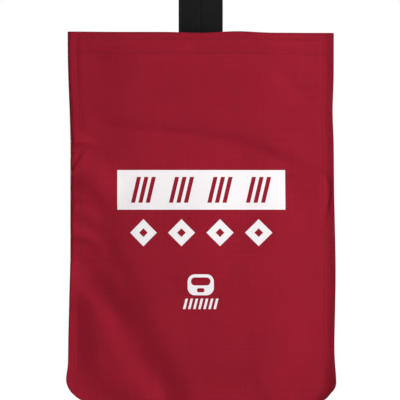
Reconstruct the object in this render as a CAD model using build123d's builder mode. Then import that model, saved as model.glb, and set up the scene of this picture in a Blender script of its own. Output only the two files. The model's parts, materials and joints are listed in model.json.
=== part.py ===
from build123d import *
import os

# A limp cloth bag for a breathing mask, hung up by its own webbing strap. Millimetres, +Z up, and
# the printed front faces -Y. The origin is the hang point: the middle of the underside of the
# strap's top fold, where a belt, hook or rail carries the bag.

# Webbing strap
webbing_width = 50.8
webbing_thickness = 2.0
belt_gap = 8.0  # clear space between the two legs of the loop, under the fold
belt_window = 50.0  # clear height for a belt under the fold
patch_width = 46.0
patch_height = 42.0
loop_patch_thickness = 1.8
hook_patch_thickness = 1.4
patch_gap = 0.4  # between hooks and loops, which belong to different bodies
flap_end_height = 11.0  # the flap's end, turned out and sewn double
flap_end_below_patch = 13.0
strap_drop = 145.0  # hang point to the bag's mouth
tail_length = 60.0  # sewn down on the back
fold_joint_gap = 0.4

# Bag
bag_width = 305.0
bag_height = 425.0
corner_radius = 25.0
half_depth = 7.0  # seam plane to the flat of each side
cloth = 1.0
fleece = 2.0
seam_margin = 13.0  # flat edge outside the seam ridge
slope_run = 25.0  # how far the cloth takes to rise from the margin to the flat
margin_gap = 0.9  # seam plane to the inside of the flat margin
least_gap = 0.5  # seam plane to the innermost lining
trim_margin = 60.0  # how far outlines run on above the mouth before they are trimmed

# Mouth
hem_height = 28.0
closure_height = 20.0
closure_width = 220.0
closure_thickness = 1.6
hem_rows = (8.0, 25.0)  # below the mouth's edge

# Inner seam binding, in from the bag's edge
binding_from = 1.0
binding_to = 11.0

# Threads
thread_width = 0.7
thread_height = 0.3
side_row_inset = 12.0
tail_box_width = 40.0
tail_box_height = 46.0
tail_box_below_mouth = 6.0
patch_row_inset = 3.0

# Print on the front
ink = 0.15
band_width = 193.0
band_height = 45.2
band_below_mouth = 158.0
mark_height = 31.0
mark_pitch = 44.0
mark_count = 4
bars_in_mark = 3
bar_width = 4.8
bar_height = 29.5
bar_lean = 7.0
bar_pitch = 8.6
lower_row_below_mouth = 229.5
diamond_width = 31.0
diamond_rim = 10.5
emblem_below_mouth = 289.0
emblem_width = 30.0
emblem_height = 24.0
hatch_below_mouth = 310.8
hatch_bars = 7
hatch_bar_width = 2.8
hatch_height = 12.0
hatch_lean = 3.0
hatch_pitch = 5.8

# Motion
hinge_above_mouth = 1.5
tail_joint_gap = 1.2

# Places that follow from the sizes above
mouth_z = -strap_drop
bag_bottom = mouth_z - bag_height
leg_front = -belt_gap / 2 - webbing_thickness
leg_back = -belt_gap / 2
leg_middle = (leg_front + leg_back) / 2
fold_z = -belt_gap / 2
seam_y = leg_front - half_depth
hinge_z = mouth_z + hinge_above_mouth
tail_top = hinge_z - webbing_thickness / 2 - tail_joint_gap
patch_top = -belt_window - 6.0
patch_bottom = patch_top - patch_height
flap_bottom = patch_bottom - flap_end_below_patch
flap_inside = leg_back + loop_patch_thickness + patch_gap + hook_patch_thickness
flap_outside = flap_inside + webbing_thickness
margin_face = margin_gap + cloth
slope = slope_run / (half_depth - margin_face)

# Planes in the bag's seam plane that look out of the front and out of the back
front = Plane(origin=(0, seam_y, 0), x_dir=(1, 0, 0), z_dir=(0, -1, 0))
back = Plane(origin=(0, seam_y, 0), x_dir=(-1, 0, 0), z_dir=(0, 1, 0))
mouth_plane = Plane.XY.offset(mouth_z)
hem_plane = Plane.XY.offset(mouth_z - hem_height)


def outline(plane, inset):
    """The bag's outline drawn in from its edge. It runs on above the mouth, to be trimmed there."""
    width = bag_width - 2 * inset
    top = mouth_z + trim_margin - inset
    bottom = bag_bottom + inset
    with BuildSketch(plane) as sketch:
        with Locations((0, (top + bottom) / 2)):
            Rectangle(width, top - bottom)
        fillet(sketch.vertices().group_by(Axis.Y)[0], corner_radius)
    return sketch.sketch


def room(side, depth):
    """The space under a surface that lies `depth` below the outside of one side of the bag."""
    floor = max(margin_face - depth, least_gap)
    inset = seam_margin + (floor - margin_face + depth) * slope
    rim = outline(side.offset(floor), inset)
    flat = outline(side.offset(half_depth - depth), seam_margin + slope_run)
    with BuildPart() as space:
        loft(sections=[rim, flat])
        split(bisect_by=mouth_plane, keep=Keep.BOTTOM)
    return space.part


def layer(side, outer, inner):
    """One layer of cloth between two depths below the outside of the bag."""
    with BuildPart() as skin:
        add(room(side, outer))
        add(room(side, inner), mode=Mode.SUBTRACT)
    return skin.part


def panel(side):
    """An outer cloth side: flat margin, raised middle and the hem turned in at the mouth."""
    with BuildPart() as turned_hem:
        add(layer(side, cloth, 2 * cloth))
        split(bisect_by=hem_plane, keep=Keep.TOP)
    with BuildPart() as skin:
        extrude(outline(side.offset(margin_gap), 0), amount=cloth)
        split(bisect_by=mouth_plane, keep=Keep.BOTTOM)
        add(room(side, 0))
        add(room(side, cloth), mode=Mode.SUBTRACT)
        add(turned_hem.part)
    return skin.part


def lining(side):
    """The fleece inside one outer cloth, from the hem down."""
    with BuildPart() as skin:
        add(layer(side, cloth, cloth + fleece))
        split(bisect_by=hem_plane, keep=Keep.BOTTOM)
    return skin.part


def closure_tape(side):
    """A hook or loop tape sewn inside the hem, right across the flat of the mouth."""
    tape_z = mouth_z - sum(hem_rows) / len(hem_rows)
    with BuildPart() as tape:
        with BuildSketch(side.offset(half_depth - 2 * cloth)):
            with Locations((0, tape_z)):
                Rectangle(closure_width, closure_height)
        extrude(amount=-closure_thickness)
    return tape.part


def hem_rows_of_thread(side):
    """Two rows of stitching round the mouth, standing just proud of the outer cloth."""
    proud_skin = layer(side, -thread_height, 0)
    with BuildPart() as rows:
        for below_mouth in hem_rows:
            with BuildSketch(Plane.XY.offset(mouth_z - below_mouth - thread_width / 2)):
                Rectangle(2 * bag_width, 2 * bag_width)
            extrude(amount=thread_width)
        add(proud_skin, mode=Mode.INTERSECT)
    return rows.part


def side_rows_of_thread(side):
    """A straight row of stitching down each side seam."""
    row_length = bag_height - corner_radius - hem_rows[0]
    row_x = bag_width / 2 - side_row_inset
    with BuildPart() as rows:
        with BuildSketch(side.offset(margin_face)):
            with Locations((-row_x, mouth_z - row_length / 2 - 2), (row_x, mouth_z - row_length / 2 - 2)):
                Rectangle(thread_width, row_length)
        extrude(amount=thread_height)
    return rows.part


def patch_rows_of_thread(plane):
    """The rectangle of stitching that holds a patch, on the far face of the webbing."""
    row_width = patch_width - 2 * patch_row_inset
    row_height = patch_height - 2 * patch_row_inset
    with BuildPart() as rows:
        with BuildSketch(plane):
            with Locations((0, (patch_top + patch_bottom) / 2)):
                Rectangle(row_width, row_height)
                Rectangle(row_width - 2 * thread_width, row_height - 2 * thread_width, mode=Mode.SUBTRACT)
        extrude(amount=thread_height)
    return rows.part


# Outer cloths and linings
with BuildPart() as front_panel:
    add(panel(front))
front_panel.part.label = "front_panel"

with BuildPart() as back_panel:
    add(panel(back))
back_panel.part.label = "back_panel"

with BuildPart() as front_lining:
    add(lining(front))
front_lining.part.label = "front_lining"

with BuildPart() as back_lining:
    add(lining(back))
back_lining.part.label = "back_lining"

# Binding over the seam allowance: a U of tape between the two flat margins, held by the back
with BuildPart() as seam_binding:
    extrude(outline(back.offset(-least_gap), binding_from), amount=least_gap + margin_gap)
    extrude(outline(back.offset(-least_gap), binding_to), amount=least_gap + margin_gap, mode=Mode.SUBTRACT)
    split(bisect_by=mouth_plane, keep=Keep.BOTTOM)
seam_binding.part.label = "seam_binding"

# Mouth closure
with BuildPart() as hook_closure:
    add(closure_tape(front))
hook_closure.part.label = "hook_closure"

with BuildPart() as loop_closure:
    add(closure_tape(back))
loop_closure.part.label = "loop_closure"

# Strap tail, sewn flat on the back
with BuildPart() as strap_tail:
    with BuildSketch(back.offset(half_depth)):
        with Locations((0, (tail_top + mouth_z - tail_length) / 2)):
            Rectangle(webbing_width, tail_top - mouth_z + tail_length)
    extrude(amount=webbing_thickness)
strap_tail.part.label = "strap_tail"

# Bag stitching. The back's rows run up to the tail on each side
with BuildPart() as front_hem_stitches:
    add(hem_rows_of_thread(front))
front_hem_stitches.part.label = "front_hem_stitches"

with BuildPart() as back_hem_stitches:
    add(hem_rows_of_thread(back))
    add(strap_tail.part, mode=Mode.SUBTRACT)
back_hem_stitches.part.label = "back_hem_stitches"

with BuildPart() as front_side_stitches:
    add(side_rows_of_thread(front))
front_side_stitches.part.label = "front_side_stitches"

with BuildPart() as back_side_stitches:
    add(side_rows_of_thread(back))
back_side_stitches.part.label = "back_side_stitches"

# Print: a band with leaning bars left open in it, a row of open diamonds, a plain mask sign and a hatched line
def spread(count, pitch):
    """Even positions about a middle."""
    return [(index - (count - 1) / 2) * pitch for index in range(count)]


def leaning_bar(width, height, lean, mode):
    """One upright bar that leans to the right."""
    return Polygon(
        (-width / 2 - lean / 2, -height / 2),
        (width / 2 - lean / 2, -height / 2),
        (width / 2 + lean / 2, height / 2),
        (-width / 2 + lean / 2, height / 2),
        mode=mode,
    )


row_centres = spread(mark_count, mark_pitch)

with BuildPart() as print_band:
    with BuildSketch(front.offset(half_depth)):
        band_middle = mouth_z - band_below_mouth - band_height / 2
        with Locations((0, band_middle)):
            Rectangle(band_width, band_height)
        for centre in row_centres:
            for bar in spread(bars_in_mark, bar_pitch):
                with Locations((centre + bar, band_middle)):
                    leaning_bar(bar_width, bar_height, bar_lean, Mode.SUBTRACT)
    extrude(amount=ink)
print_band.part.label = "print_band"

with BuildPart() as lower_marks:
    with BuildSketch(front.offset(half_depth)):
        for centre in row_centres:
            with Locations((centre, mouth_z - lower_row_below_mouth)):
                Polygon(
                    (0, mark_height / 2), (diamond_width / 2, 0), (0, -mark_height / 2), (-diamond_width / 2, 0)
                )
                Polygon(
                    (0, mark_height / 2 - diamond_rim),
                    (diamond_width / 2 - diamond_rim, 0),
                    (0, -mark_height / 2 + diamond_rim),
                    (-diamond_width / 2 + diamond_rim, 0),
                    mode=Mode.SUBTRACT,
                )
    extrude(amount=ink)
lower_marks.part.label = "lower_marks"

with BuildPart() as emblem:
    with BuildSketch(front.offset(half_depth)):
        with Locations((0, mouth_z - emblem_below_mouth)):
            RectangleRounded(emblem_width, emblem_height, emblem_height * 0.35)
        with Locations((0, mouth_z - emblem_below_mouth + emblem_height * 0.16)):
            RectangleRounded(emblem_width * 0.74, emblem_height * 0.38, emblem_height * 0.18, mode=Mode.SUBTRACT)
        with Locations((0, mouth_z - emblem_below_mouth - emblem_height * 0.26)):
            RectangleRounded(emblem_height * 0.36, emblem_height * 0.2, emblem_height * 0.09, mode=Mode.SUBTRACT)
        for bar in spread(hatch_bars, hatch_pitch):
            with Locations((bar, mouth_z - hatch_below_mouth)):
                leaning_bar(hatch_bar_width, hatch_height, hatch_lean, Mode.ADD)
    extrude(amount=ink)
emblem.part.label = "emblem"

with BuildPart() as tail_stitches:
    with BuildSketch(back.offset(half_depth + webbing_thickness)):
        with Locations((0, mouth_z - tail_box_below_mouth - tail_box_height / 2)):
            Rectangle(tail_box_width, tail_box_height)
            Rectangle(tail_box_width - 2 * thread_width, tail_box_height - 2 * thread_width, mode=Mode.SUBTRACT)
        box_middle = (0, mouth_z - tail_box_below_mouth - tail_box_height / 2)
        for turn in (-1, 1):
            with Locations(Location(box_middle, 41 * turn)):
                Rectangle(thread_width, tail_box_height * 1.28)
    extrude(amount=thread_height)
tail_stitches.part.label = "tail_stitches"

# The leg's lower end is round, about the axis on which the strap bends over the mouth
with BuildPart() as strap_leg:
    with BuildSketch(Plane.YZ):
        with Locations((leg_middle, (fold_z + hinge_z) / 2)):
            Rectangle(webbing_thickness, fold_z - hinge_z)
        with Locations((leg_middle, hinge_z)):
            Circle(webbing_thickness / 2)
    extrude(amount=webbing_width / 2, both=True)
strap_leg.part.label = "strap_leg"

with BuildPart() as strap_fold:
    with BuildSketch(Plane.XY.offset(fold_z)):
        with Locations((0, belt_gap / 2 + webbing_thickness / 2)):
            Rectangle(webbing_width, webbing_thickness)
    revolve(axis=Axis((0, 0, fold_z), (1, 0, 0)), revolution_arc=180)
strap_fold.part.label = "strap_fold"

# The flap closes in to the leg at the patches, and its end is turned out as a grip
with BuildPart() as strap_flap:
    with BuildSketch(Plane.YZ):
        with BuildLine():
            Polyline(
                (belt_gap / 2, fold_z - fold_joint_gap),
                (belt_gap / 2 + webbing_thickness, fold_z - fold_joint_gap),
                (flap_outside, patch_top),
                (flap_outside, flap_bottom + flap_end_height),
                (flap_outside + webbing_thickness, flap_bottom + flap_end_height),
                (flap_outside + webbing_thickness, flap_bottom),
                (flap_inside, flap_bottom),
                (flap_inside, patch_top),
                close=True,
            )
        make_face()
    extrude(amount=webbing_width / 2, both=True)
strap_flap.part.label = "strap_flap"

with BuildPart() as loop_patch:
    with BuildSketch(Plane.YZ):
        with Locations((leg_back + loop_patch_thickness / 2, (patch_top + patch_bottom) / 2)):
            Rectangle(loop_patch_thickness, patch_height)
    extrude(amount=patch_width / 2, both=True)
loop_patch.part.label = "loop_patch"

with BuildPart() as hook_patch:
    with BuildSketch(Plane.YZ):
        with Locations((flap_inside - hook_patch_thickness / 2, (patch_top + patch_bottom) / 2)):
            Rectangle(hook_patch_thickness, patch_height)
    extrude(amount=patch_width / 2, both=True)
hook_patch.part.label = "hook_patch"

with BuildPart() as loop_patch_stitches:
    add(patch_rows_of_thread(front.offset(seam_y - leg_front)))
loop_patch_stitches.part.label = "loop_patch_stitches"

with BuildPart() as hook_patch_stitches:
    add(patch_rows_of_thread(back.offset(flap_outside - seam_y)))
hook_patch_stitches.part.label = "hook_patch_stitches"

with BuildPart() as flap_end_stitches:
    with BuildSketch(back.offset(flap_outside + webbing_thickness - seam_y)):
        with Locations((0, flap_bottom + flap_end_height - 2 * thread_width)):
            Rectangle(patch_width, thread_width)
    extrude(amount=thread_height)
flap_end_stitches.part.label = "flap_end_stitches"

os.makedirs("parts", exist_ok=True)
pieces = (
    front_panel, back_panel, front_lining, back_lining, seam_binding, hook_closure, loop_closure,
    front_hem_stitches, back_hem_stitches, front_side_stitches, back_side_stitches,
    print_band, lower_marks, emblem,
    strap_tail, tail_stitches, strap_leg, strap_fold, strap_flap,
    loop_patch, hook_patch, loop_patch_stitches, hook_patch_stitches, flap_end_stitches,
)
for piece in pieces:
    export_step(piece.part, f"parts/{piece.part.label}.step")
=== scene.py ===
import json
import math

import bmesh
import bpy
import numpy as np
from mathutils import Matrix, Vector


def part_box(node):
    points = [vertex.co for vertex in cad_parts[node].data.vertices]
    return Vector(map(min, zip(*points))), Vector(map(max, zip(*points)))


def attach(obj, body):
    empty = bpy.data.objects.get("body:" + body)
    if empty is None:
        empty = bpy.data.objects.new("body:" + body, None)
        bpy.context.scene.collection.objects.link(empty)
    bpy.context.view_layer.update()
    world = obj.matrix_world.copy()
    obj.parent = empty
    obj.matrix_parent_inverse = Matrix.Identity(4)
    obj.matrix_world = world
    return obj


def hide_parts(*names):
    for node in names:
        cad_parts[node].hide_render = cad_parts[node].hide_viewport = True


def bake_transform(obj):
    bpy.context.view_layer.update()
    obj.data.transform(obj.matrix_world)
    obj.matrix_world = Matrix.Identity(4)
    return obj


# A flat, empty cloth bag for a breathing mask, hanging from its black webbing strap.
# The bag is described flat: x across from its middle, and `down` from the mouth's edge. Each side is a
# height over the seam plane at every such point, and everything on the bag is placed through it.

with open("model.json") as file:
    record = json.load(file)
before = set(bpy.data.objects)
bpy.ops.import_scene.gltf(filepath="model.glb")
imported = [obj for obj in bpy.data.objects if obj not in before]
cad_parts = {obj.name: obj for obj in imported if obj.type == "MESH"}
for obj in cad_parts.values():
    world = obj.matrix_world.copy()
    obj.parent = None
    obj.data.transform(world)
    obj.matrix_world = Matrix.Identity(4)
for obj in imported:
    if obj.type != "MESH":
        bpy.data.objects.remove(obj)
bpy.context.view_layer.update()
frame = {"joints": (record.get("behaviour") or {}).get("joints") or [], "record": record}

mm = 0.001
FRONT, BACK = -1, 1

# Places read from the frame
panel_low, panel_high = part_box("front_panel")
back_low, back_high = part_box("back_panel")
tail_low, tail_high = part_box("strap_tail")
leg_low, leg_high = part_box("strap_leg")
fold_low, fold_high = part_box("strap_fold")
flap_low, flap_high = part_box("strap_flap")
hook_low, hook_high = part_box("hook_patch")
loop_low, loop_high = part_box("loop_patch")
band_low, band_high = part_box("print_band")
lower_low, lower_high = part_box("lower_marks")
emblem_low, emblem_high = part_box("emblem")
tape_low, tape_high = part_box("hook_closure")
hinges = {joint["name"]: Vector(joint["pos_m"]) for joint in frame["joints"]}

half_width = panel_high.x
mouth = panel_high.z
bag_length = mouth - panel_low.z
seam_y = (panel_low.y + back_high.y) / 2
half_depth = back_high.y - seam_y

# Cloth of the bag
corner = 25 * mm
cloth_thickness = 0.8 * mm
hem_thickness = 1.7 * mm
hem_down = 28 * mm
hem_rows = (8 * mm, 24.5 * mm)
side_row = 12.5 * mm
seam_height = 0.45 * mm
least_height = 0.12 * mm  # how near an inner face comes to the seam plane
edge_roll = 5.5 * mm
edge_roll_height = 2.8 * mm
margin = 8 * mm
side_slope = 80 * mm
bottom_slope = 60 * mm
least_room = 3.1 * mm
grid_step = 1.8 * mm
fine_step = 0.35 * mm

# Lining and tapes
fleece_thickness = 1.7 * mm
lining_inset = 15 * mm
tape_thickness = 0.9 * mm
pile_height = 0.6 * mm

# Stitches
stitch_pitch = 3.4 * mm
stitch_length = 2.8 * mm
stitch_radius = 0.33 * mm


def smooth(share):
    share = np.clip(share, 0, 1)
    return share * share * (3 - 2 * share)


def bump(value, centre, width):
    return np.exp(-(((value - centre) / width) ** 2))


# ---------------------------------------------------------------- the bag's shape


def edge_distance(x, down):
    """How far a point of the flat bag lies inside its sides, bottom and round corners."""
    across = half_width - np.abs(x)
    up = bag_length - down
    reach = np.hypot(np.maximum(corner - across, 0), np.maximum(corner - up, 0))
    in_corner = (across < corner) & (up < corner)
    return np.maximum(np.where(in_corner, corner - reach, np.minimum(across, up)), 0)


def through(points, count=40):
    """A smooth line through a few points."""
    points = np.array(points, float)
    ends = np.vstack([2 * points[0] - points[1], points, 2 * points[-1] - points[-2]])
    line = []
    for share in np.linspace(0, len(points) - 1, count):
        step = min(int(share), len(points) - 2)
        s = share - step
        a, b, c, d = ends[step:step + 4]
        line.append(0.5 * (2 * b + (c - a) * s + (2 * a - 5 * b + 4 * c - d) * s * s
                           + (3 * b - a - 3 * c + d) * s ** 3))
    return np.array(line)


def from_line(x, down, points):
    """Distance to a smooth line, positive on its right going down, and how far along it a point lies."""
    line = through(points) * mm
    best = np.full(np.shape(x), 1e9)
    signed = np.zeros(np.shape(x))
    for start, end in zip(line, line[1:]):
        run = end - start
        length = np.hypot(*run)
        share = np.clip(((x - start[0]) * run[0] + (down - start[1]) * run[1]) / length ** 2, 0, 1)
        off_x = x - start[0] - share * run[0]
        off_down = down - start[1] - share * run[1]
        distance = np.hypot(off_x, off_down)
        side = np.sign(off_x * run[1] - off_down * run[0])
        signed = np.where(distance < best, side * distance, signed)
        best = np.minimum(distance, best)
    chord = line[-1] - line[0]
    passed = ((x - line[0][0]) * chord[0] + (down - line[0][1]) * chord[1]) / (chord ** 2).sum()
    return signed, np.clip(passed, 0, 1)


# Folds are lines of (x, down) in millimetres, then widths, height, and the shares of its length over
# which the fold grows in and dies away. A step drops the cloth on the lower left of its line, and both
# sides of the bag share it. A crease is a ridge or, where the height is negative, a valley in one side,
# with one width on the upper right of its line and another on the lower left.
steps = (
    ([(-152, 254), (-116, 288), (-80, 320), (-62, 342), (-54, 362), (-41, 382), (-29, 402), (-20, 428)],
     36, 6.0, 0.36, 0.01),
    ([(-152, 262), (-129, 291), (-110, 316), (-101, 339), (-93, 360), (-79, 382), (-60, 402), (-48, 428)],
     28, -3.4, 0.02, 0.01),
    ([(-150, 296), (-134, 322), (-131, 345), (-129, 364), (-126, 385), (-109, 404), (-80, 428)],
     30, 4.6, 0.12, 0.01),
    ([(-112, 205), (-103, 235), (-96, 254), (-84, 278), (-66, 306), (-48, 336)], 24, 2.1, 0.35, 0.3),
    ([(-152, 142), (-130, 152), (-108, 166), (-86, 186)], 34, -4.4, 0.02, 0.6),
)
front_creases = (
    ([(-150, 114), (-105, 113), (-60, 114), (-25, 118), (20, 124), (60, 135), (90, 149), (122, 167), (152, 180)],
     10, 30, -2.9, 0.12, 0.01),
    ([(-165, 176), (-60, 186), (0, 190), (60, 200)], 40, 110, 4.2, 0.35, 0.3),
    ([(-150, 8), (-122, 34), (-102, 56), (-82, 78)], 16, 40, -0.9, 0.1, 0.4),
    ([(-156, 125.5), (-138, 126), (-104, 129)], 9, 4.5, 3.4, 0.01, 0.9),
    ([(-156, 189), (-138, 189.5), (-118, 192)], 9, 4, 1.8, 0.01, 0.8),
    ([(-152, 157), (-132, 169), (-112, 183), (-90, 199)], 26, 13, 2.8, 0.05, 0.5),
    ([(-152, 203), (-132, 209), (-110, 224)], 8, 8, 1.3, 0.05, 0.6),
    ([(-154, 231), (-138, 234), (-124, 239), (-108, 248)], 8, 6, 2.5, 0.01, 0.6),
    ([(76, 32), (95, 48), (113, 66), (132, 84)], 9, 12, -0.7, 0.4, 0.3),
    ([(58, 364), (70, 396), (88, 428)], 30, 13, 1.8, 0.5, 0.01),
    ([(-20, 326), (40, 342), (130, 344)], 22, 16, 1.2, 0.4, 0.2),
)
back_creases = (
    ([(140, 250), (100, 290), (60, 350), (30, 428)], 15, 15, -1.8, 0.3, 0.01),
    ([(152, 280), (120, 330), (95, 390), (80, 428)], 13, 13, 1.4, 0.2, 0.01),
    ([(-130, 150), (-60, 165), (20, 158), (120, 180)], 12, 30, -1.2, 0.3, 0.3),
    ([(-152, 120), (-130, 122), (-112, 128)], 5, 5, 1.0, 0.01, 0.6),
    ([(-60, 230), (0, 250), (80, 235)], 24, 24, 0.8, 0.4, 0.4),
)


def ripples(x, down, seed, wavelength, height):
    """Slight unevenness of limp cloth: a few waves in random directions."""
    chance = np.random.RandomState(seed)
    total = np.zeros(np.shape(x))
    for _ in range(7):
        turn, phase = chance.uniform(0, 2 * math.pi, 2)
        length = wavelength * chance.uniform(0.6, 1.6)
        total += np.sin(2 * math.pi * (x * math.cos(turn) + down * math.sin(turn)) / length + phase)
    return height * total / 7


def clear_of_tail(x, down):
    """0 where the strap's sewn tail keeps the bag flat, 1 away from it."""
    return 1 - smooth(2 - np.abs(x) / (36 * mm)) * smooth(3.4 - down / (27 * mm))


def sway(x, down):
    """How far back the whole thickness of the bag lies."""
    total = np.zeros(np.shape(x))
    for line, width, drop, grow, fade in steps:
        distance, passed = from_line(x, down, line)
        ends = smooth(passed / grow) * smooth((1 - passed) / fade)
        total = total + drop * mm * ends * smooth(0.5 - distance / (width * mm))
    return total * clear_of_tail(x, down)


def surface(side, x, down):
    """Height of the outside of one side of the bag over its middle."""
    inside = edge_distance(x, down)
    inside_sides = half_width - corner - np.abs(x)
    pressed = smooth(-x / (60 * mm)) * smooth((down - 90 * mm) / (50 * mm))
    pressed = np.maximum(pressed, smooth((down - bag_length + 30 * mm) / (20 * mm)) * smooth(inside_sides / (20 * mm)))
    roll = np.sqrt(1 - (1 - np.clip(inside / (edge_roll * (1 - 0.72 * pressed)), 0, 1)) ** 2)
    from_side = smooth((half_width - np.abs(x) - margin) / side_slope)
    from_bottom = smooth((bag_length - down - margin) / bottom_slope)
    rise = half_depth - seam_height - edge_roll_height
    height = seam_height + edge_roll_height * roll + rise * from_side * from_bottom

    # Creases start in the margin
    soft = np.zeros(np.shape(x))
    for line, upper, lower, tall, grow, fade in (front_creases if side == FRONT else back_creases):
        distance, passed = from_line(x, down, line)
        ends = smooth(passed / grow) * smooth((1 - passed) / fade)
        soft = soft + tall * mm * ends * bump(distance, 0, np.where(distance > 0, upper, lower) * mm)
    soft = soft + ripples(x, down, 3 + side, 70 * mm, 0.5 * mm)
    soft = soft + ripples(x, down, 8 + side, 26 * mm, 0.12 * mm)
    loose = smooth(inside / ((8 - 5 * pressed) * mm))
    if side == BACK:
        loose = loose * clear_of_tail(x, down)
    height = height + soft * loose

    # Stitching pulls the cloth in: two rows round the mouth and one down each side
    for row in hem_rows:
        height = height - 0.3 * mm * bump(down, row, 1.8 * mm) * smooth(inside / (6 * mm))
    height = height + 0.3 * mm * bump(down, sum(hem_rows) / 2, 5 * mm) * smooth(inside / (20 * mm))
    past_sides = smooth((bag_length - down - corner) / (20 * mm))
    height = height - 0.1 * mm * bump(half_width - np.abs(x), side_row, 2.2 * mm) * past_sides

    # There is always room inside for the lining
    room = seam_height + (least_room - seam_height) * smooth(inside / (18 * mm))
    gap = height - room
    height = room + (gap + np.sqrt(gap ** 2 + (0.5 * mm) ** 2)) / 2

    # The mouth's edge is the roll of the turned hem
    return height - 0.7 * mm * (1 - np.sqrt(1 - (1 - np.clip(down / (1.3 * mm), 0, 1)) ** 2))


def place(side, x, down, level=0.0):
    """Points on one side of the bag, `level` outside its cloth, in the row frame."""
    height = np.maximum(surface(side, x, down) + level, least_height)
    leftward = np.clip(-x / half_width, 0, 1) ** 2
    rightward = np.clip(x / half_width, 0, 1) ** 2
    drawn_in = 3.4 * np.exp(-(((down - 190 * mm) / (125 * mm)) ** 4)) - 2.2 * bump(down, 398 * mm, 12 * mm)
    drawn_in = drawn_in + 1.9 * smooth((down - 408 * mm) / (16 * mm))
    bellied = (2.1 * bump(down, 275 * mm, 75 * mm) + 2.8 * bump(down, 404 * mm, 26 * mm)
               - 1.3 * bump(down, 90 * mm, 26 * mm) - 1.7 * bump(down, 415 * mm, 5 * mm))
    lifted = (0.7 * bump(x, -half_width, 40 * mm) + 0.8 * bump(x, 40 * mm, 22 * mm)
              - 1.1 * bump(x, 0, 24 * mm) - 0.9 * smooth((x - 45 * mm) / (40 * mm)))
    return np.stack([
        x + (drawn_in * leftward + bellied * rightward) * mm,
        seam_y + sway(x, down) + side * height,
        mouth - down + lifted * mm * np.exp(-down / (30 * mm)),
    ], axis=-1)


# ---------------------------------------------------------------- mesh tools


def add_object(name, points, faces, flat=None, sharp=38):
    """A mesh object. `flat` gives each point's place on the flat cloth, which the weave follows; on the bag's cloth
    its third value is a painted light and shade.
    """
    mesh = bpy.data.meshes.new(name)
    mesh.from_pydata(np.asarray(points).tolist(), [], [list(map(int, face)) for face in faces])
    if flat is not None:
        weave = mesh.attributes.new("flat", "FLOAT_VECTOR", "POINT")
        weave.data.foreach_set("vector", np.asarray(flat, np.float32).ravel())
    mesh.shade_smooth()
    mesh.set_sharp_from_angle(angle=math.radians(sharp))
    mesh.update()
    piece = bpy.data.objects.new(name, mesh)
    bpy.context.scene.collection.objects.link(piece)
    return piece


def quads(index):
    corners = [index[:-1, :-1], index[1:, :-1], index[1:, 1:], index[:-1, 1:]]
    return np.stack(corners, axis=-1).reshape(-1, 4)


def shell(name, outer, inner, flat, side):
    """A closed sheet of cloth between two grids of points."""
    count = outer.shape[0] * outer.shape[1]
    index = np.arange(count).reshape(outer.shape[:2])
    rim = np.concatenate([index[0], index[1:, -1], index[-1, -2::-1], index[-2:0:-1, 0]])
    after = np.roll(rim, -1)
    faces = np.concatenate([
        quads(index),
        quads(index + count)[:, ::-1],
        np.stack([rim, after, after + count, rim + count], axis=-1),
    ])
    if side == BACK:
        faces = faces[:, ::-1]
    points = np.concatenate([outer.reshape(-1, 3), inner.reshape(-1, 3)])
    return add_object(name, points, faces, np.concatenate([flat.reshape(-1, 3)] * 2))


def spaced(length, step, fine_ends):
    """Distances along a length, closer together near the ends that are fine."""
    grown, gap = [0.0], fine_step
    while gap < step:
        grown.append(grown[-1] + gap)
        gap *= 1.5
    grown = np.array(grown)
    start = grown if fine_ends[0] else np.zeros(1)
    end = length - grown[::-1] if fine_ends[1] else np.array([length])
    count = max(2, int(round((end[0] - start[-1]) / step)))
    return np.concatenate([start[:-1], np.linspace(start[-1], end[0], count + 1), end[1:]])


def bag_grid(inset, top, step=grid_step):
    """Flat places of a grid over the bag, `inset` from its sides and bottom and `top` from its mouth."""
    width = half_width - inset
    radius = max(corner - inset, 6 * mm)
    across = spaced(width, step, (False, True))
    across = np.concatenate([-across[:0:-1], across]) / width
    rows = top + spaced(bag_length - inset - top, step, (True, True))
    past_corner = np.clip(rows - (bag_length - inset - radius), 0, radius)
    reach = width - radius + np.sqrt(radius ** 2 - past_corner ** 2)
    x = reach[:, None] * across[None, :]
    down = np.repeat(rows[:, None], len(across), axis=1)
    return x, down


def flat_places(x, down):
    """Where a point lies on the cloth, and a painted light and shade for its colour: darker along the sides, most on
    the right, and at the mouth's edge, lighter along the lower left.
    """
    past_corner = np.clip(down - bag_length + corner, 0, corner)
    from_side = half_width - corner + np.sqrt(corner ** 2 - past_corner ** 2) - np.abs(x)
    rightward = smooth(x / (60 * mm))
    upper = smooth((280 * mm - down) / (40 * mm))
    # Painted shade: the colour darkens towards the sides, on the left only up high, most down the right side, and
    # darker and further in near the lower right corner.
    painted_corner_shade = bump(down, 405 * mm, 24 * mm)
    reach = (5.5 + (5 + 7 * painted_corner_shade) * rightward) * mm
    print_wear_and_painted_edge_shade = 0.26 * upper * (1 - rightward) + (0.56 - 0.05 * upper + 0.08 * painted_corner_shade) * rightward
    painted_light_and_shade = 1 - print_wear_and_painted_edge_shade * np.clip(1 - from_side / reach, 0, 1)
    # Painted light: the colour is lighter along the lower left side.
    painted_lower_left_light = (1 - upper) * smooth(-x / (60 * mm))
    painted_light_and_shade = painted_light_and_shade + 0.14 * painted_lower_left_light * np.clip(1 - from_side / (16 * mm), 0, 1)
    # Painted shade: the colour is darker within 3 mm of the mouth's edge.
    return np.stack([x, down, painted_light_and_shade * (1 - 0.24 * np.clip(1 - down / (3 * mm), 0, 1))], axis=-1)


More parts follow.
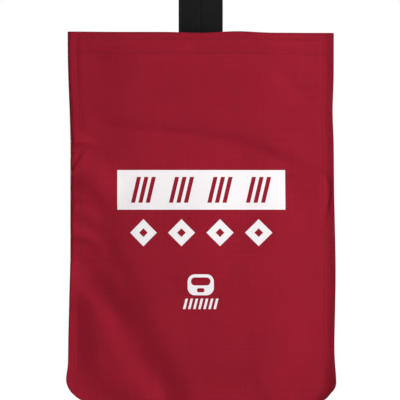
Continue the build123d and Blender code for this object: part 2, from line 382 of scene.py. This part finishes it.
def stitches(name, starts, ends, outward):
    """Rows of separate stitches. Each dips into the cloth at its two ends."""
    starts, ends, outward = (np.asarray(value, float) for value in (starts, ends, outward))
    along = ends - starts
    length = np.linalg.norm(along, axis=1, keepdims=True)
    along = along / length
    beside = np.cross(outward, along)
    beside = beside / np.linalg.norm(beside, axis=1, keepdims=True)
    points, rings, around = [], 5, 6
    for ring in range(rings):
        share = -1 + 2 * ring / (rings - 1)
        radius = stitch_radius * math.sqrt(1 - 0.75 * share ** 2)
        centre = (starts + ends) / 2 + along * length * share / 2
        centre = centre + outward * (0.12 * mm - 0.42 * mm * share ** 4)
        for turn in range(around):
            angle = 2 * math.pi * turn / around
            points.append(centre + radius * (math.cos(angle) * beside + math.sin(angle) * outward * 0.8))
    points = np.stack(points, axis=1)
    faces = []
    for ring in range(rings - 1):
        for turn in range(around):
            a, b = ring * around + turn, ring * around + (turn + 1) % around
            faces.append([a, b, b + around, a + around])
    faces.append(list(range(around))[::-1])
    faces.append([(rings - 1) * around + turn for turn in range(around)])
    total = points.shape[1]
    every = [[corner_index + stitch * total for corner_index in face]
             for stitch in range(len(starts)) for face in faces]
    return add_object(name, points.reshape(-1, 3), every, sharp=80)


def bag_row(side, runs):
    """Starts, ends and outward directions of stitches along straight runs of the flat bag."""
    starts, ends = [], []
    for (x0, down0), (x1, down1) in runs:
        length = math.hypot(x1 - x0, down1 - down0)
        count = max(1, int(length / stitch_pitch))
        middles = (np.arange(count) + 0.5) / count
        half = stitch_length / 2 / length
        for share, kept in ((middles - half, starts), (middles + half, ends)):
            kept.append(place(side, x0 + (x1 - x0) * share, down0 + (down1 - down0) * share))
    starts, ends = np.concatenate(starts), np.concatenate(ends)
    return starts, ends, np.tile([0.0, side, 0.0], (len(starts), 1))


def plane_row(points, y, outward):
    """The same for a line of (x, z) points on a flat piece of webbing."""
    starts, ends = [], []
    for (x0, z0), (x1, z1) in zip(points, points[1:]):
        length = math.hypot(x1 - x0, z1 - z0)
        count = max(1, int(length / stitch_pitch))
        for middle in (np.arange(count) + 0.5) / count:
            for share, kept in ((middle - stitch_length / 2 / length, starts),
                                (middle + stitch_length / 2 / length, ends)):
                kept.append((x0 + (x1 - x0) * share, y, z0 + (z1 - z0) * share))
    return starts, ends, [(0, outward, 0)] * len(starts)


def follow_mouth(piece):
    """Cuts the piece at its middle, x = 0, and joins the two halves again into one piece, with the points on the cut
    merged.
    """
    halves = []
    for side in (-1, 1):
        half = piece.copy()
        half.data = piece.data.copy()
        bpy.context.scene.collection.objects.link(half)
        mesh = bmesh.new()
        mesh.from_mesh(half.data)
        everything = mesh.verts[:] + mesh.edges[:] + mesh.faces[:]
        bmesh.ops.bisect_plane(mesh, geom=everything, dist=1e-7, plane_co=(0, 0, 0),
                               plane_no=(side, 0, 0), clear_inner=True)
        mesh.to_mesh(half.data)
        mesh.free()
        if half.data.vertices:
            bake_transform(half)
            halves.append(half)
        else:
            bpy.data.objects.remove(half)
    name = piece.name
    bpy.data.objects.remove(piece)
    joined = halves[0]
    if len(halves) == 2:
        with bpy.context.temp_override(active_object=joined, object=joined,
                                       selected_editable_objects=halves, selected_objects=halves):
            bpy.ops.object.join()
        mesh = bmesh.new()
        mesh.from_mesh(joined.data)
        middle = [vertex for vertex in mesh.verts if abs(vertex.co.x) < 1e-7]
        bmesh.ops.remove_doubles(mesh, verts=middle, dist=1e-6)
        mesh.to_mesh(joined.data)
        mesh.free()
    joined.name = name
    joined.data.name = name
    return joined


def finish_piece(piece, material, nodes, body=None):
    """Gives a piece its slot's material, hides the CAD nodes it stands for, and parents it to its body unless the body
    is blended. No body: it crosses the mouth, and is cut at its middle and joined again.
    """
    piece.data.materials.clear()
    piece.data.materials.append(material)
    if body is None:
        piece = follow_mouth(piece)
    elif body != "blended":
        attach(piece, body)
    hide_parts(*nodes)
    return piece


# ---------------------------------------------------------------- materials


class Shader:
    """A material under construction, with short calls for its nodes."""

    def __init__(self, name, roughness, **sockets):
        self.material = bpy.data.materials.new(name)
        self.material.use_nodes = True
        self.tree = self.material.node_tree
        self.surface = self.tree.nodes["Principled BSDF"]
        self.surface.inputs["Roughness"].default_value = roughness
        for socket, value in sockets.items():
            self.surface.inputs[socket.replace("_", " ")].default_value = value

    def node(self, kind, values=(), **settings):
        made = self.tree.nodes.new("ShaderNode" + kind)
        for setting, value in settings.items():
            setattr(made, setting, value)
        for socket, value in dict(values).items():
            if isinstance(value, bpy.types.NodeSocket):
                self.tree.links.new(value, made.inputs[socket])
            else:
                made.inputs[socket].default_value = value
        return made

    def math(self, operation, first, second=0.0):
        return self.node("Math", {0: first, 1: second}, operation=operation).outputs[0]

    def place(self):
        """The piece's own flat coordinates where it has them, as (across, along, from the edge); where flat_places
        made them, the third value is a painted light and shade instead.
        """
        return self.node("Attribute", attribute_name="flat").outputs["Vector"]

    def stretched(self, vector, across, along, deep=1.0):
        return self.node("VectorMath", {0: vector, 1: (across, along, deep)}, operation="MULTIPLY").outputs[0]

    def noise(self, vector, scale, detail=2.0, roughness=0.5):
        values = {"Vector": vector, "Scale": scale, "Detail": detail, "Roughness": roughness}
        return self.node("TexNoise", values).outputs["Fac"]

    def ramp(self, value, low, high, from_value, to_value):
        values = {"Value": value, "From Min": low, "From Max": high, "To Min": from_value, "To Max": to_value}
        return self.node("MapRange", values).outputs["Result"]

    def tinted(self, colour, brightness):
        """The colour times a brightness that varies over the surface, into the base colour."""
        mix = self.node("VectorMath", {0: colour, "Scale": brightness}, operation="SCALE")
        self.tree.links.new(mix.outputs[0], self.surface.inputs["Base Color"])

    def relief(self, height, distance, strength=1.0):
        made = self.node("Bump", {"Height": height, "Distance": distance, "Strength": strength})
        self.tree.links.new(made.outputs["Normal"], self.surface.inputs["Normal"])

    def rough(self, value):
        self.tree.links.new(value, self.surface.inputs["Roughness"])


def plain_weave(shader, vector, pitch):
    """Height of an over-and-under weave: round threads one way, then the other, in a checker."""
    split = shader.node("SeparateXYZ", {0: vector})
    across, along = split.outputs[0], split.outputs[1]
    turns = [shader.math("MULTIPLY", value, math.pi / pitch) for value in (across, along)]
    threads = [shader.math("ABSOLUTE", shader.math("SINE", value)) for value in turns]
    signs = [shader.math("SINE", shader.math("MULTIPLY", value, 1.0)) for value in turns]
    over = shader.math("GREATER_THAN", shader.math("MULTIPLY", signs[0], signs[1]), 0.0)
    under = shader.math("SUBTRACT", 1.0, over)
    return shader.math("ADD", shader.math("MULTIPLY", threads[0], over),
                       shader.math("MULTIPLY", threads[1], under))


def cloth_material(name, colour, weave_pitch=0.62 * mm):
    """Coated nylon oxford: fine plain weave, uneven threads, a painted shade along the sewn edges and the mouth's
    edge, and painted light along the lower left.
    """
    shader = Shader(name, 0.58, Sheen_Weight=0.02, Sheen_Roughness=0.45, Specular_IOR_Level=0.06,
                    Sheen_Tint=(0.8, 0.12, 0.16, 1), Specular_Tint=(0.9, 0.2, 0.25, 1))
    flat = shader.place()
    # The third value of the flat places is the cloth's painted light and shade, multiplied into the colour below.
    painted_light_and_shade = shader.node("SeparateXYZ", {0: flat}).outputs[2]
    level_threads = shader.noise(shader.stretched(flat, 14, 620), 1.0, 3.0, 0.6)
    upright_threads = shader.noise(shader.stretched(flat, 560, 16), 1.0, 3.0, 0.6)
    patches = shader.noise(flat, 22, 4.0, 0.55)
    tone = shader.math("ADD", shader.ramp(level_threads, 0.3, 0.7, -0.06, 0.06),
                       shader.ramp(upright_threads, 0.3, 0.7, -0.045, 0.045))
    tone = shader.math("ADD", tone, shader.ramp(patches, 0.3, 0.7, 0.965, 1.035))
    tone = shader.math("MULTIPLY", tone, painted_light_and_shade)
    shader.tinted(colour, tone)
    weave = plain_weave(shader, flat, weave_pitch)
    shader.relief(shader.math("ADD", weave, shader.math("MULTIPLY", level_threads, 1.2)), 0.07 * mm)
    shader.rough(shader.ramp(patches, 0.3, 0.7, 0.52, 0.66))
    return shader.material


def fleece_material(name, colour):
    shader = Shader(name, 0.95, Sheen_Weight=0.5, Sheen_Roughness=0.6, Specular_IOR_Level=0.1)
    flat = shader.place()
    fluff = shader.noise(flat, 900, 5.0, 0.7)
    shader.tinted(colour, shader.ramp(fluff, 0.3, 0.7, 0.65, 1.35))
    shader.relief(fluff, 0.6 * mm)
    return shader.material


def webbing_material(name, colour):
    """Heavy herringbone webbing: fine ribs that slant up to a groove down its middle."""
    shader = Shader(name, 0.6, Sheen_Weight=0.02, Sheen_Roughness=0.35, Specular_IOR_Level=0.08)
    flat = shader.place()
    split = shader.node("SeparateXYZ", {0: flat})
    across, along, edge = split.outputs[0], split.outputs[1], split.outputs[2]
    from_middle = shader.math("ABSOLUTE", across)
    slanted = shader.math("ADD", shader.math("MULTIPLY", from_middle, 0.8), along)
    ribs = shader.math("ABSOLUTE", shader.math("SINE", shader.math("MULTIPLY", slanted, math.pi / (1.5 * mm))))
    warp = shader.math("ABSOLUTE", shader.math("SINE", shader.math("MULTIPLY", across, math.pi / (0.9 * mm))))
    woven = shader.math("ADD", shader.math("MULTIPLY", ribs, 0.6), shader.math("MULTIPLY", warp, 0.5))
    lint = shader.noise(flat, 260, 4.0, 0.65)
    tone = shader.math("ADD", shader.ramp(woven, 0.1, 1.0, 0.34, 0.72), shader.ramp(lint, 0.45, 0.75, -0.05, 0.25))
    # Painted shade: the colour darkens in the groove down the middle.
    tone = shader.math("MULTIPLY", tone, shader.ramp(from_middle, 0.0, 0.8 * mm, 0.35, 1.0))
    tone = shader.math("MULTIPLY", tone, shader.ramp(edge, 0.0, 3.0 * mm, 1.25, 1.0))
    shader.tinted(colour, tone)
    shader.relief(woven, 0.16 * mm)
    shader.rough(shader.ramp(lint, 0.3, 0.7, 0.55, 0.75))
    return shader.material


def ink_material(name, colour):
    """Screen print: a flat film that still shows the weave and a little wear."""
    shader = Shader(name, 0.5, Specular_IOR_Level=0.15)
    flat = shader.place()
    weave = plain_weave(shader, flat, 0.62 * mm)
    print_wear_and_painted_edge_shade = shader.noise(flat, 420, 6.0, 0.7)
    tone = shader.math("ADD", shader.ramp(print_wear_and_painted_edge_shade, 0.25, 0.5, -0.06, 0.0), shader.ramp(weave, 0.0, 1.0, 0.89, 0.93))
    shader.tinted(colour, tone)
    shader.relief(weave, 0.03 * mm)
    shader.rough(shader.ramp(print_wear_and_painted_edge_shade, 0.3, 0.7, 0.42, 0.6))
    return shader.material


def thread_material(name, colour):
    shader = Shader(name, 0.5, Sheen_Weight=0.03, Sheen_Roughness=0.4, Specular_IOR_Level=0.12)
    place_vector = shader.node("TexCoord").outputs["Object"]
    twist = shader.node("TexWave", {"Vector": place_vector, "Scale": 900.0, "Distortion": 1.5},
                        bands_direction="DIAGONAL").outputs["Fac"]
    shader.tinted(colour, shader.ramp(twist, 0.0, 1.0, 0.75, 1.15))
    shader.relief(twist, 0.05 * mm)
    return shader.material


def pile_material(name, colour, scale):
    """Hook or loop tape: a coarse, matt, speckled face."""
    shader = Shader(name, 0.8, Sheen_Weight=0.35, Sheen_Roughness=0.5, Specular_IOR_Level=0.25)
    place_vector = shader.node("TexCoord").outputs["Object"]
    tufts = shader.noise(place_vector, scale, 4.0, 0.7)
    shader.tinted(colour, shader.ramp(tufts, 0.3, 0.7, 0.5, 1.6))
    shader.relief(tufts, 0.35 * mm)
    return shader.material


def slot_colour(slot):
    for entry in frame["record"]["materials"]:
        if entry["slot"] == slot:
            return tuple(entry["base_color"][:3])
    raise ValueError(slot)


red_cloth = cloth_material("red_cloth", slot_colour("red_cloth"))
fleece = fleece_material("fleece", slot_colour("fleece"))
webbing_black = webbing_material("webbing", slot_colour("webbing"))
binding_black = cloth_material("binding", slot_colour("binding"), 0.9 * mm)
white_ink = ink_material("white_ink", slot_colour("white_ink"))
red_thread = thread_material("red_thread", slot_colour("red_thread"))
black_thread = thread_material("black_thread", slot_colour("black_thread"))
loop_black = pile_material("loop_tape", slot_colour("loop_tape"), 900)
hook_black = pile_material("hook_tape", slot_colour("hook_tape"), 1400)


# ---------------------------------------------------------------- the bag


def make_cloth(side):
    """One outer cloth with its hem turned in, as a closed sheet."""
    x, down = bag_grid(0.0, 0.0)
    in_hem = 1 - smooth((down - hem_down) / (1.2 * mm))
    thick = cloth_thickness + (hem_thickness - cloth_thickness) * in_hem * smooth(edge_distance(x, down) / (8 * mm))
    thick = thick * (0.35 + 0.65 * smooth(down / (1.5 * mm)))
    name = "front_panel" if side == FRONT else "back_panel"
    piece = shell(name + "_cloth", place(side, x, down), place(side, x, down, -thick), flat_places(x, down), side)
    body = None if side == FRONT else "bag_back"
    return finish_piece(piece, red_cloth, [name], body)


def make_lining(side):
    """The fleece inside one cloth, from the hem down."""
    x, down = bag_grid(lining_inset, hem_down - 2 * mm, 3 * mm)
    face = -hem_thickness * (1 - smooth((down - hem_down) / (3 * mm))) - cloth_thickness * smooth((down - hem_down) / (3 * mm))
    face = face - 0.15 * mm
    fluff = ripples(x, down, 20 + side, 9 * mm, 0.3 * mm)
    edge = smooth((edge_distance(x, down) - lining_inset) / (5 * mm)) * smooth((down - hem_down + 2 * mm) / (4 * mm))
    thick = fleece_thickness * (0.25 + 0.75 * edge)
    outer = place(side, x, down, face)
    inner = place(side, x, down, face - thick + fluff * edge)
    name = "front_lining" if side == FRONT else "back_lining"
    piece = shell(name + "_fleece", outer, inner, flat_places(x, down), side)
    body = None if side == FRONT else "bag_back"
    return finish_piece(piece, fleece, [name], body)


def make_closure(side):
    """The hook or loop tape inside the mouth, with its face of hooks or loops."""
    width = tape_high.x
    down_top, down_end = mouth - tape_high.z, mouth - tape_low.z
    across = np.linspace(-width, width, 2 * int(width / (2 * mm)) + 1)
    rows = down_top + spaced(down_end - down_top, 1.5 * mm, (True, True))
    x, down = np.meshgrid(across, rows)
    near_edge = np.minimum(down - down_top, down_end - down)
    pile = pile_height * smooth(near_edge / (1.5 * mm)) * (0.75 + 0.25 * np.sin(x / (0.9 * mm)) * np.sin(down / (0.8 * mm)))
    outer = place(side, x, down, -hem_thickness - 0.1 * mm)
    inner = place(side, x, down, -hem_thickness - tape_thickness - pile)
    name = "hook_closure" if side == FRONT else "loop_closure"
    flat = np.stack([x, down, near_edge], axis=-1)
    piece = shell(name + "_tape", outer, inner, flat, side)
    if side == FRONT:
        return finish_piece(piece, hook_black, [name])
    return finish_piece(piece, loop_black, [name], "bag_back")


def make_bag_stitches(side):
    """The two rows round the mouth and the row down each side seam."""
    reach = half_width - 5 * mm
    gap = tail_high.x + 2 * mm
    runs = []
    for row in hem_rows:
        if side == BACK:
            runs += [((-reach, row), (-gap, row)), ((gap, row), (reach, row))]
        else:
            runs += [((-reach, row), (0, row)), ((0, row), (reach, row))]
    hem_name = "front_hem_stitches" if side == FRONT else "back_hem_stitches"
    side_name = "front_side_stitches" if side == FRONT else "back_side_stitches"
    body = None if side == FRONT else "bag_back"
    hem = stitches(hem_name + "_thread", *bag_row(side, runs))
    finish_piece(hem, red_thread, [hem_name], body)
    row_end = bag_length - corner - 4 * mm
    runs = [((x, hem_rows[0] + 3 * mm), (x, row_end)) for x in (side_row - half_width, half_width - side_row)]
    seams = stitches(side_name + "_thread", *bag_row(side, runs))
    finish_piece(seams, red_thread, [side_name], body)


def make_binding():
    """The tape over the seam allowance, in a U between the two cloths' edges."""
    inner_edge, outer_edge = 10.5 * mm, 2.5 * mm
    insets = np.linspace(outer_edge, inner_edge, 6)
    straight = np.linspace(3 * mm, bag_length - corner, 60)
    turns = np.linspace(0, math.pi / 2, 12)
    bottom = np.linspace(-1, 1, 40)
    rows = []
    for inset in insets:
        radius = corner - inset
        left = [(-(half_width - inset), down) for down in straight]
        left += [(-(half_width - corner) - radius * math.cos(turn), bag_length - corner + radius * math.sin(turn))
                 for turn in turns[1:]]
        base = [(share * (half_width - corner), bag_length - inset) for share in bottom[1:-1]]
        rows.append(left + base + [(-x, down) for x, down in left[::-1]])
    grid = np.array(rows)
    x, down = grid[..., 0], grid[..., 1]
    middle = place(BACK, x, down)
    outer, inner = middle.copy(), middle.copy()
    outer[..., 1] = seam_y + sway(x, down) + 0.3 * mm
    inner[..., 1] = seam_y + sway(x, down) - 0.3 * mm
    along = np.repeat(np.arange(grid.shape[1])[None, :] * 7 * mm, len(insets), axis=0)
    flat = np.stack([insets[:, None] + 0 * along, along, 1 + 0 * along], axis=-1)
    piece = shell("seam_binding_tape", outer, inner, flat, FRONT)
    mesh = bmesh.new()
    mesh.from_mesh(piece.data)
    bmesh.ops.recalc_face_normals(mesh, faces=mesh.faces)
    mesh.to_mesh(piece.data)
    mesh.free()
    return finish_piece(piece, binding_black, ["seam_binding"], "bag_back")


for bag_side in (FRONT, BACK):
    make_cloth(bag_side)
    make_lining(bag_side)
    make_closure(bag_side)
    make_bag_stitches(bag_side)
make_binding()


# ---------------------------------------------------------------- the print


def rounded(centre_x, centre_down, width, height, radius, turns=8):
    """A closed outline of a rectangle with round corners, on the flat bag."""
    outline = []
    for quarter in range(4):
        corner_x = centre_x + (width / 2 - radius) * (1 if quarter in (0, 3) else -1)
        corner_down = centre_down + (height / 2 - radius) * (1 if quarter in (0, 1) else -1)
        for step in range(turns + 1):
            angle = math.pi / 2 * (quarter + step / turns)
            outline.append((corner_x + radius * math.cos(angle), corner_down + radius * math.sin(angle)))
    return outline


def film(name, outlines, node, material, level):
    """Ink on the front cloth: outlines are filled, holes left open, and laid over every fold."""
    flat_curve = bpy.data.curves.new(name, "CURVE")
    flat_curve.dimensions = "2D"
    flat_curve.fill_mode = "FRONT"
    for outline in outlines:
        spline = flat_curve.splines.new("POLY")
        spline.points.add(len(outline) - 1)
        for point, (x, down) in zip(spline.points, outline):
            point.co = (x, -down, 0, 1)
        spline.use_cyclic_u = True
    holder = bpy.data.objects.new(name, flat_curve)
    mesh = bmesh.new()
    mesh.from_mesh(bpy.data.meshes.new_from_object(holder))
    bpy.data.objects.remove(holder)
    bmesh.ops.remove_doubles(mesh, verts=mesh.verts, dist=1e-6)
    for axis in (0, 1):
        values = [vertex.co[axis] for vertex in mesh.verts]
        cut = math.ceil(min(values) / (2.4 * mm)) * 2.4 * mm
        while cut < max(values):
            normal = Vector((1, 0, 0)) if axis == 0 else Vector((0, 1, 0))
            bmesh.ops.bisect_plane(mesh, geom=mesh.verts[:] + mesh.edges[:] + mesh.faces[:],
                                   dist=1e-7, plane_co=normal * cut, plane_no=normal)
            cut += 2.4 * mm
    x = np.array([vertex.co.x for vertex in mesh.verts])
    down = np.array([-vertex.co.y for vertex in mesh.verts])
    mesh.verts.index_update()
    faces = [[vertex.index for vertex in face.verts] for face in mesh.faces]
    facing = [face.normal.z for face in mesh.faces]
    mesh.free()
    faces = [face if up > 0 else face[::-1] for face, up in zip(faces, facing)]
    top = place(FRONT, x, down, level)
    under = place(FRONT, x, down, level - 0.14 * mm)
    count = len(x)
    edges = {}
    for face in faces:
        for a, b in zip(face, face[1:] + face[:1]):
            edges[(a, b)] = True
    rim = [(b, a, a + count, b + count) for a, b in edges if (b, a) not in edges]
    every = faces + [[vertex + count for vertex in face[::-1]] for face in faces] + [list(face) for face in rim]
    piece = add_object(name, np.concatenate([top, under]), every,
                       np.concatenate([flat_places(x, down)] * 2))
    return finish_piece(piece, material, [node])


mark_count = 4
mark_pitch = 44 * mm
bars_in_mark = 3


def spread(count, pitch):
    """Even positions about a middle."""
    return [(index - (count - 1) / 2) * pitch for index in range(count)]


def leaning_bar(x, down, width, height, lean):
    """One upright bar that leans to the right."""
    return [(x - (width + lean) / 2, down + height / 2), (x + (width - lean) / 2, down + height / 2),
            (x + (width + lean) / 2, down - height / 2), (x - (width - lean) / 2, down - height / 2)]


def band_outlines():
    """A plain band with four groups of leaning bars left open in it."""
    width, height, lean, pitch = 4.8 * mm, 29.5 * mm, 7 * mm, 8.6 * mm
    middle = mouth - (band_high.z + band_low.z) / 2
    low, high = mouth - band_low.z, mouth - band_high.z
    outlines = [[(band_low.x, high), (band_high.x, high), (band_high.x, low), (band_low.x, low)]]
    for centre in spread(mark_count, mark_pitch):
        for bar in spread(bars_in_mark, pitch):
            outlines.append(leaning_bar(centre + bar, middle, width, height, lean))
    return outlines


def diamond_outlines():
    """Four open diamonds over the width of the lower marks' node."""
    size, rim = lower_high.z - lower_low.z, 10.5 * mm
    middle = mouth - (lower_high.z + lower_low.z) / 2
    outlines = []
    for centre in spread(mark_count, mark_pitch):
        for reach in (size / 2, size / 2 - rim):
            outlines.append([(centre + reach, middle), (centre, middle + reach),
                             (centre - reach, middle), (centre, middle - reach)])
    return outlines


def emblem_outlines():
    """A plain sign of a face mask with a window and a port, and a hatched line under it."""
    sign = 24 * mm
    width = 30 * mm
    middle = mouth - emblem_high.z + sign / 2
    outlines = [
        rounded(0, middle, width, sign, sign * 0.35),
        rounded(0, middle - sign * 0.16, width * 0.74, sign * 0.38, sign * 0.18),
        rounded(0, middle + sign * 0.26, sign * 0.36, sign * 0.2, sign * 0.09),
    ]
    bar, height, lean, count = 2.8 * mm, 12 * mm, 3 * mm, 7
    pitch = (2 * emblem_high.x - bar - lean) / (count - 1)
    for x in spread(count, pitch):
        outlines.append(leaning_bar(x, mouth - emblem_low.z - height / 2, bar, height, lean))
    return outlines


film("print_band_ink", band_outlines(), "print_band", white_ink, 0.12 * mm)
film("lower_marks_ink", diamond_outlines(), "lower_marks", white_ink, 0.12 * mm)
film("emblem_ink", emblem_outlines(), "emblem", white_ink, 0.12 * mm)


# ---------------------------------------------------------------- the strap

strap_half = leg_high.x
strap_thickness = tail_high.y - tail_low.y
tail_y = (tail_low.y + tail_high.y) / 2
fold_y = 0.0
fold_z = hinges["flap_open"].z
fold_radius = fold_high.y - strap_thickness / 2
flap_y = flap_low.y + strap_thickness / 2


def webbing(name, line, half, thickness, selvage=2.6 * mm, taper_ends=(True, True)):
    """A flat strap along a line of (y, z) points, with a groove down its middle and thin selvages."""
    line = np.array(line)
    tangent = np.gradient(line, axis=0)
    tangent = tangent / np.linalg.norm(tangent, axis=1, keepdims=True)
    away = np.stack([tangent[:, 1], -tangent[:, 0]], axis=1)
    passed = np.concatenate([[0], np.cumsum(np.linalg.norm(np.diff(line, axis=0), axis=1))])
    across = np.concatenate([np.linspace(-half, -half + selvage, 5), np.linspace(-half + selvage, -1 * mm, 9)[1:],
                             np.linspace(-1 * mm, 1 * mm, 5)[1:-1]])
    across = np.concatenate([across, -across[::-1]]) if across[-1] < -1e-9 else across
    across = np.unique(np.round(np.concatenate([across, -across]), 7))
    inside = half - np.abs(across)
    half_thick = thickness / 2 * (0.45 + 0.55 * np.sqrt(1 - (1 - np.clip(inside / (0.9 * mm), 0, 1)) ** 2))
    half_thick = half_thick - 0.12 * mm * bump(inside, selvage, 0.5 * mm)
    half_thick = half_thick - 0.22 * mm * bump(across, 0, 0.7 * mm)
    faces_points = []
    for direction in (1, -1):
        spread = direction * half_thick[None, :]
        y = line[:, 0][:, None] + away[:, 0][:, None] * spread
        z = line[:, 1][:, None] + away[:, 1][:, None] * spread
        faces_points.append(np.stack([np.broadcast_to(across[None, :], y.shape), y, z], axis=-1))
    flat = np.stack([np.broadcast_to(across[None, :], y.shape), np.broadcast_to(passed[:, None], y.shape),
                     np.broadcast_to(inside[None, :], y.shape)], axis=-1)
    piece = shell(name, faces_points[0], faces_points[1], flat, FRONT)
    mesh = bmesh.new()
    mesh.from_mesh(piece.data)
    bmesh.ops.recalc_face_normals(mesh, faces=mesh.faces)
    mesh.to_mesh(piece.data)
    mesh.free()
    return piece


def straight(y, z_from, z_to, step=2 * mm):
    count = max(2, int(abs(z_to - z_from) / step))
    return [(y, z) for z in np.linspace(z_from, z_to, count + 1)]


def make_strap():
    """The sewn tail and the leg in one length, the fold at the top and the flap behind."""
    lower = webbing("strap_lower", straight(tail_y, tail_low.z, fold_z), strap_half, strap_thickness)
    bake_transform(lower)
    finish_piece(lower, webbing_black, ["strap_tail", "strap_leg"], "blended")

    turns = np.linspace(math.pi, 0, 25)
    over = [(fold_y + fold_radius * math.cos(turn), fold_z + fold_radius * math.sin(turn)) for turn in turns]
    fold = webbing("strap_fold_webbing", over, strap_half, strap_thickness)
    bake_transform(fold)
    finish_piece(fold, webbing_black, ["strap_fold"], "blended")

    closed_in = fold_z - hook_high.z
    path = [(flap_y + (fold_radius - flap_y) * (1 - smooth((fold_z - z) / closed_in)), z)
            for z in np.linspace(fold_z - 0.1 * mm, hook_high.z, 28)]
    end_radius = strap_thickness / 2 + 0.05 * mm
    turn_z = flap_low.z + end_radius + strap_thickness / 2
    path += straight(flap_y, hook_high.z, turn_z)[1:]
    path += [(flap_y + end_radius * (1 - math.cos(turn)), turn_z - end_radius * math.sin(turn))
             for turn in np.linspace(0, math.pi, 11)[1:]]
    path += straight(flap_y + 2 * end_radius, turn_z, flap_low.z + 11 * mm)[1:]
    flap = webbing("strap_flap_webbing", path, strap_half, strap_thickness)
    finish_piece(flap, webbing_black, ["strap_flap"], "flap")


def make_patch(name, low, high, material, body):
    """A hook or loop patch between the leg and the flap."""
    middle = (low.y + high.y) / 2
    piece = webbing(name + "_tape", straight(middle, low.z, high.z, 1.5 * mm), high.x, high.y - low.y, 1.5 * mm)
    return finish_piece(piece, material, [name], body)


def patch_rectangle(name):
    low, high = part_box(name)
    return [(low.x, low.z), (high.x, low.z), (high.x, high.z), (low.x, high.z), (low.x, low.z)]


def make_strap_stitches():
    leg_front, flap_back = leg_low.y, flap_y + strap_thickness / 2
    rows = stitches("loop_patch_stitches_thread", *plane_row(patch_rectangle("loop_patch_stitches"), leg_front, -1))
    finish_piece(rows, black_thread, ["loop_patch_stitches"], "strap")
    rows = stitches("hook_patch_stitches_thread", *plane_row(patch_rectangle("hook_patch_stitches"), flap_back, 1))
    finish_piece(rows, black_thread, ["hook_patch_stitches"], "flap")
    low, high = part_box("flap_end_stitches")
    end_row = [(low.x, low.z), (high.x, low.z)]
    rows = stitches("flap_end_stitches_thread", *plane_row(end_row, flap_high_back(), 1))
    finish_piece(rows, black_thread, ["flap_end_stitches"], "flap")
    low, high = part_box("tail_stitches")
    outline = [(low.x, low.z), (high.x, low.z), (high.x, high.z), (low.x, high.z), (low.x, low.z),
               (high.x, high.z)]
    starts, ends, outward = plane_row(outline, tail_high.y, 1)
    more = plane_row([(low.x, high.z), (high.x, low.z)], tail_high.y, 1)
    rows = stitches("tail_stitches_thread", starts + more[0], ends + more[1], outward + more[2])
    finish_piece(rows, black_thread, ["tail_stitches"], "bag_back")


def flap_high_back():
    """The outside of the flap's turned end."""
    return flap_y + 1.5 * strap_thickness + 0.1 * mm


make_strap()
make_patch("loop_patch", loop_low, loop_high, loop_black, "strap")
make_patch("hook_patch", hook_low, hook_high, hook_black, "flap")
make_strap_stitches()


# ---------------------------------------------------------------- camera, light and floor

view_across = 0.4570
view_distance = 2.4
below_mouth = 192.2 * mm
left_of_middle = 0.8 * mm

camera_data = bpy.data.cameras.new("camera")
camera_data.sensor_width = 36.0
camera_data.lens = 36.0 * view_distance / view_across
camera = bpy.data.objects.new("camera", camera_data)
camera.location = (-left_of_middle, panel_low.y - view_distance, mouth - below_mouth)
camera.rotation_euler = (math.pi / 2, 0, 0)
bpy.context.scene.collection.objects.link(camera)
bpy.context.scene.camera = camera
bpy.context.scene.view_settings.view_transform = "Standard"


def white_to_camera(tree, shader_output, other, target):
    """Pure white where the camera looks straight at it, and `other` for the light it gives."""
    path = tree.nodes.new("ShaderNodeLightPath")
    mix = tree.nodes.new("ShaderNodeMixShader")
    tree.links.new(path.outputs["Is Camera Ray"], mix.inputs[0])
    tree.links.new(other, mix.inputs[1])
    tree.links.new(shader_output, mix.inputs[2])
    tree.links.new(mix.outputs[0], target)


def make_world():
    world = bpy.data.worlds.new("studio")
    bpy.context.scene.world = world
    world.use_nodes = True
    tree = world.node_tree
    fill = tree.nodes["Background"]
    fill.inputs["Color"].default_value = (1.0, 1.0, 1.0, 1)
    fill.inputs["Strength"].default_value = 0.30
    white = tree.nodes.new("ShaderNodeBackground")
    white.inputs["Color"].default_value = (1, 1, 1, 1)
    white.inputs["Strength"].default_value = 1.0
    white_to_camera(tree, white.outputs[0], fill.outputs[0], tree.nodes["World Output"].inputs["Surface"])


def make_floor():
    mesh = bpy.data.meshes.new("floor")
    reach, level = 6.0, panel_low.z - 40 * mm
    mesh.from_pydata([(-reach, -reach, level), (reach, -reach, level), (reach, reach, level), (-reach, reach, level)],
                     [], [(0, 1, 2, 3)])
    floor = bpy.data.objects.new("floor", mesh)
    bpy.context.scene.collection.objects.link(floor)
    material = bpy.data.materials.new("floor")
    material.use_nodes = True
    tree = material.node_tree
    surface_node = tree.nodes["Principled BSDF"]
    surface_node.inputs["Base Color"].default_value = (0.85, 0.85, 0.85, 1)
    white = tree.nodes.new("ShaderNodeEmission")
    white_to_camera(tree, white.outputs[0], surface_node.outputs[0], tree.nodes["Material Output"].inputs["Surface"])
    mesh.materials.append(material)


def make_softbox(name, power, towards, distance, width):
    """A square light, `distance` from the bag's middle and facing it."""
    data = bpy.data.lights.new(name, "AREA")
    data.energy = power
    data.size = width
    middle = Vector((0, panel_low.y, (mouth + panel_low.z) / 2))
    direction = Vector(towards).normalized()
    softbox = bpy.data.objects.new(name, data)
    softbox.location = middle + direction * distance
    softbox.rotation_euler = direction.to_track_quat("Z", "Y").to_euler()
    bpy.context.scene.collection.objects.link(softbox)


make_world()
make_floor()
make_softbox("key", 98, (0.74, -0.45, 0.50), 2.8, 1.3)
make_softbox("back", 55, (-0.62, 0.70, 0.25), 2.8, 1.3)
